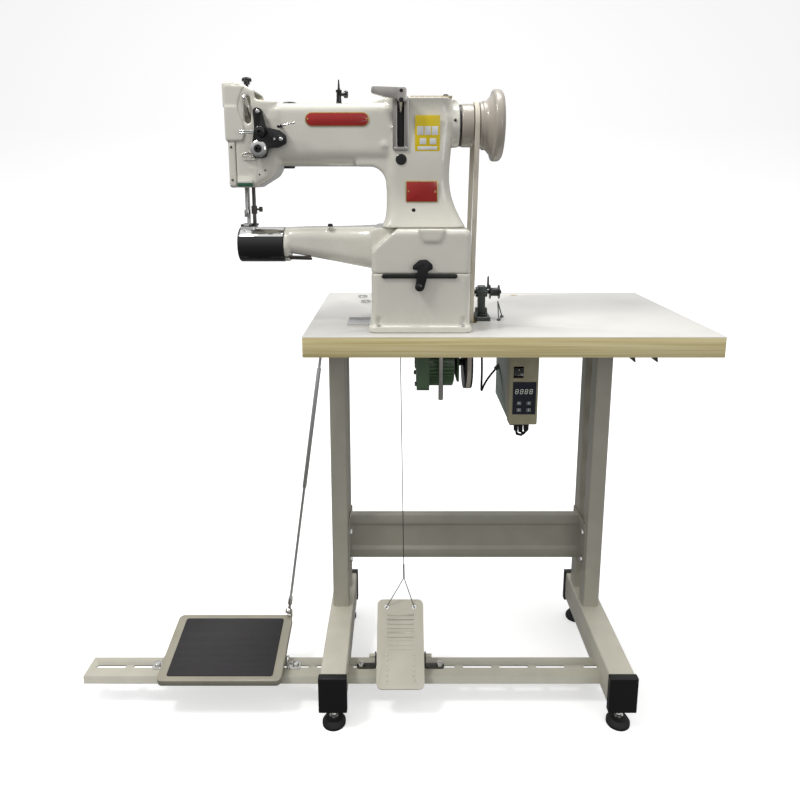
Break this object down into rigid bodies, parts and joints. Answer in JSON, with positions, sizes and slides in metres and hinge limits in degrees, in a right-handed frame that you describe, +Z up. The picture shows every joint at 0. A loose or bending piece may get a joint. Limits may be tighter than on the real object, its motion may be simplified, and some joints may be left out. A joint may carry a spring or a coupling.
{
  "type": "leather sewing machine",
  "caption": "Cylinder-arm leather sewing machine on a stand with table, treadle, lift pedal, belt-drive motor and control box; handwheel, needle, feet, levers and pedals move.",
  "frame": {"origin": "on the floor under the middle of the whole machine's width and depth", "axes": "+Z up, +X to the operator's right, +Y away from the operator"},
  "size_m": [1.312, 0.5009, 1.342],
  "materials": {
    "laminate": "satin laminate on plywood",
    "stand_paint": "satin paint",
    "black_plastic": "matte",
    "foot_rubber": "matte discs with bright nuts",
    "zinc_steel": "zinc plated",
    "cream_enamel": "gloss enamel on cast iron",
    "cover_plate": "satin",
    "bright_plate": "brushed",
    "red_plate": "gloss",
    "bright_steel": "polished",
    "black_enamel": "gloss",
    "steel": "ground",
    "handwheel_paint": "gloss enamel",
    "belt_rubber": "pale woven rubber",
    "timing_rubber": "matte",
    "cast_lever": "die cast",
    "winder_casting": "dark green-grey",
    "motor_paint": "satin green",
    "box_paint": "satin",
    "beige_plastic": "satin moulded",
    "mat_rubber": "ribbed",
    "cable_sheath": "matte sheath",
    "key_plastic": "membrane keys"
  },
  "bodies": {
    "machine": {"table_top": "laminate", "side_posts": "stand_paint", "floor_runners": "stand_paint", "crossbeam": "stand_paint", "floor_bar": "stand_paint", "runner_caps": "black_plastic", "levelling_feet": "foot_rubber", "under_table_brackets": "zinc_steel", "lower_base": "cream_enamel", "upper_base": "cream_enamel", "arm_casting": "cream_enamel", "face_plate": "cream_enamel", "top_cover": "cover_plate", "stitch_slot_plate": "bright_plate", "label_plates": "red_plate", "caps_and_strip": "black_plastic", "thread_guides": "bright_steel", "tension_plate": "black_enamel", "bobbin_case": "steel", "v_belt": "belt_rubber", "timing_belt": "timing_rubber", "needle_plate": "bright_steel", "winder_base": "winder_casting", "motor_body": "motor_paint", "control_box": "box_paint", "control_front": "beige_plastic", "pedal_brackets": "zinc_steel", "motor_cable": "cable_sheath", "fasteners": "bright_steel"},
    "shaft_train": {"main_shaft": "steel", "handwheel": "handwheel_paint"},
    "hook_train": {"lower_shaft": "steel", "rotary_hook": "steel"},
    "drive_pulley": {"motor_pulley": "steel"},
    "needle_bar": {"needle_bar": "bright_steel", "needle": "bright_steel"},
    "take_up": {"take_up_lever": "bright_steel"},
    "presser": {"presser_bar": "bright_steel", "presser_foot": "bright_steel"},
    "walking_foot": {"walking_foot": "bright_steel"},
    "feed_dog": {"feed_dog": "bright_steel"},
    "stitch_lever": {"stitch_lever": "cast_lever"},
    "latch": {"head_latch": "black_enamel"},
    "hook_cover": {"hook_cover": "black_enamel"},
    "pressure_knob": {"pressure_knob": "bright_steel"},
    "upper_tension": {"upper_tension": "black_enamel"},
    "lower_tension": {"lower_tension": "bright_steel"},
    "winder_arm": {"winder_arm": "winder_casting"},
    "winder_wheel": {"winder_wheel": "steel"},
    "treadle": {"treadle": "stand_paint", "treadle_mat": "mat_rubber"},
    "pitman": {"pitman_rod": "zinc_steel"},
    "cross_shaft": {"cross_shaft": "steel"},
    "lift_pedal": {"lift_pedal": "stand_paint"},
    "lift_wire": {"lift_wire": "bright_steel"},
    "rocker": {"rocker_switch": "black_plastic"},
    "key_1": {"key_1": "key_plastic"},
    "key_2": {"key_2": "key_plastic"},
    "key_3": {"key_3": "key_plastic"},
    "key_4": {"key_4": "key_plastic"}
  },
  "joints": [
    {"name": "handwheel_spin", "type": "hinge", "parent": "machine", "child": "shaft_train", "pos_m": [0.201, -0.12, 1.251], "axis": [1, 0, 0], "continuous": true},
    {"name": "lower_shaft_spin", "type": "hinge", "parent": "machine", "child": "hook_train", "pos_m": [0.099, -0.12, 1.019], "axis": [1, 0, 0], "continuous": true},
    {"name": "motor_spin", "type": "hinge", "parent": "machine", "child": "drive_pulley", "pos_m": [0.1885, -0.045, 0.752], "axis": [1, 0, 0], "continuous": true},
    {"name": "needle_bar_slide", "type": "slide", "parent": "machine", "child": "needle_bar", "axis": [0, 0, 1], "range_m": [0, 0.034]},
    {"name": "take_up_swing", "type": "hinge", "parent": "machine", "child": "take_up", "pos_m": [-0.259, -0.134, 1.267], "axis": [1, 0, 0], "range_deg": [0, 35]},
    {"name": "presser_bar_slide", "type": "slide", "parent": "machine", "child": "presser", "axis": [0, 0, 1], "range_m": [0, 0.012]},
    {"name": "walking_foot_slide", "type": "slide", "parent": "machine", "child": "walking_foot", "axis": [0, 0, 1], "range_m": [0, 0.006]},
    {"name": "feed_dog_slide", "type": "slide", "parent": "machine", "child": "feed_dog", "axis": [0, 1, 0], "range_m": [-0.0025, 0.0025]},
    {"name": "stitch_lever_swing", "type": "hinge", "parent": "machine", "child": "stitch_lever", "pos_m": [0.031, -0.142, 1.244], "axis": [1, 0, 0], "range_deg": [0, 52]},
    {"name": "head_latch_turn", "type": "hinge", "parent": "machine", "child": "latch", "pos_m": [0.076, -0.217, 0.948], "axis": [0, 1, 0], "range_deg": [-60, 0]},
    {"name": "hook_cover_swing", "type": "hinge", "parent": "machine", "child": "hook_cover", "pos_m": [-0.234, -0.12, 1.019], "axis": [1, 0, 0], "range_deg": [0, 55]},
    {"name": "pressure_knob_turn", "type": "hinge", "parent": "machine", "child": "pressure_knob", "pos_m": [-0.256, -0.12, 1.322], "axis": [0, 0, 1], "continuous": true},
    {"name": "upper_tension_turn", "type": "hinge", "parent": "machine", "child": "upper_tension", "pos_m": [-0.218, -0.19, 1.235], "axis": [0, 1, 0], "continuous": true},
    {"name": "lower_tension_turn", "type": "hinge", "parent": "machine", "child": "lower_tension", "pos_m": [-0.223, -0.19, 1.204], "axis": [0, 1, 0], "continuous": true},
    {"name": "winder_swing", "type": "hinge", "parent": "machine", "child": "winder_arm", "pos_m": [0.214, -0.0705, 0.871], "axis": [1, 0, 0], "range_deg": [-3.5, 0]},
    {"name": "winder_spin", "type": "hinge", "parent": "winder_arm", "child": "winder_wheel", "pos_m": [0.214, -0.0705, 0.913], "axis": [1, 0, 0], "continuous": true},
    {"name": "treadle_tilt", "type": "hinge", "parent": "machine", "child": "treadle", "pos_m": [-0.3475, -0.149, 0.09], "axis": [1, 0, 0], "range_deg": [-8, 8]},
    {"name": "pitman_pivot", "type": "hinge", "parent": "treadle", "child": "pitman", "pos_m": [-0.222, -0.05, 0.142], "axis": [1, 0, 0], "range_deg": [-9, 9]},
    {"name": "cross_shaft_turn", "type": "hinge", "parent": "machine", "child": "cross_shaft", "pos_m": [-0.076, 0.053, 0.777], "axis": [1, 0, 0], "range_deg": [-8, 8]},
    {"name": "lift_pedal_tilt", "type": "hinge", "parent": "machine", "child": "lift_pedal", "pos_m": [0.042, -0.145, 0.098], "axis": [1, 0, 0], "range_deg": [-12, 0]},
    {"name": "lift_wire_swing", "type": "hinge", "parent": "lift_pedal", "child": "lift_wire", "pos_m": [0.042, -0.10119, 0.18804], "axis": [1, 0, 0], "range_deg": [0, 14]},
    {"name": "rocker_switch_tilt", "type": "hinge", "parent": "machine", "child": "rocker", "pos_m": [0.306, -0.026, 0.7245], "axis": [1, 0, 0], "range_deg": [0, 14]},
    {"name": "key_1_press", "type": "slide", "parent": "machine", "child": "key_1", "axis": [0, 1, 0], "range_m": [0, 0.0008], "stiffness_N_per_m": 300},
    {"name": "key_2_press", "type": "slide", "parent": "machine", "child": "key_2", "axis": [0, 1, 0], "range_m": [0, 0.0008], "stiffness_N_per_m": 300},
    {"name": "key_3_press", "type": "slide", "parent": "machine", "child": "key_3", "axis": [0, 1, 0], "range_m": [0, 0.0008], "stiffness_N_per_m": 300},
    {"name": "key_4_press", "type": "slide", "parent": "machine", "child": "key_4", "axis": [0, 1, 0], "range_m": [0, 0.0008], "stiffness_N_per_m": 300}
  ],
  "couplings": [
    {"joint": "lower_shaft_spin", "follows": "handwheel_spin", "ratio": 2},
    {"joint": "motor_spin", "follows": "handwheel_spin", "ratio": 0.76364},
    {"joint": "pitman_pivot", "follows": "treadle_tilt", "ratio": -1.082},
    {"joint": "cross_shaft_turn", "follows": "treadle_tilt", "ratio": -0.961},
    {"joint": "lift_wire_swing", "follows": "lift_pedal_tilt", "ratio": -1.117},
    {"joint": "presser_bar_slide", "follows": "lift_pedal_tilt", "m_per_rad": -0.057}
  ]
}
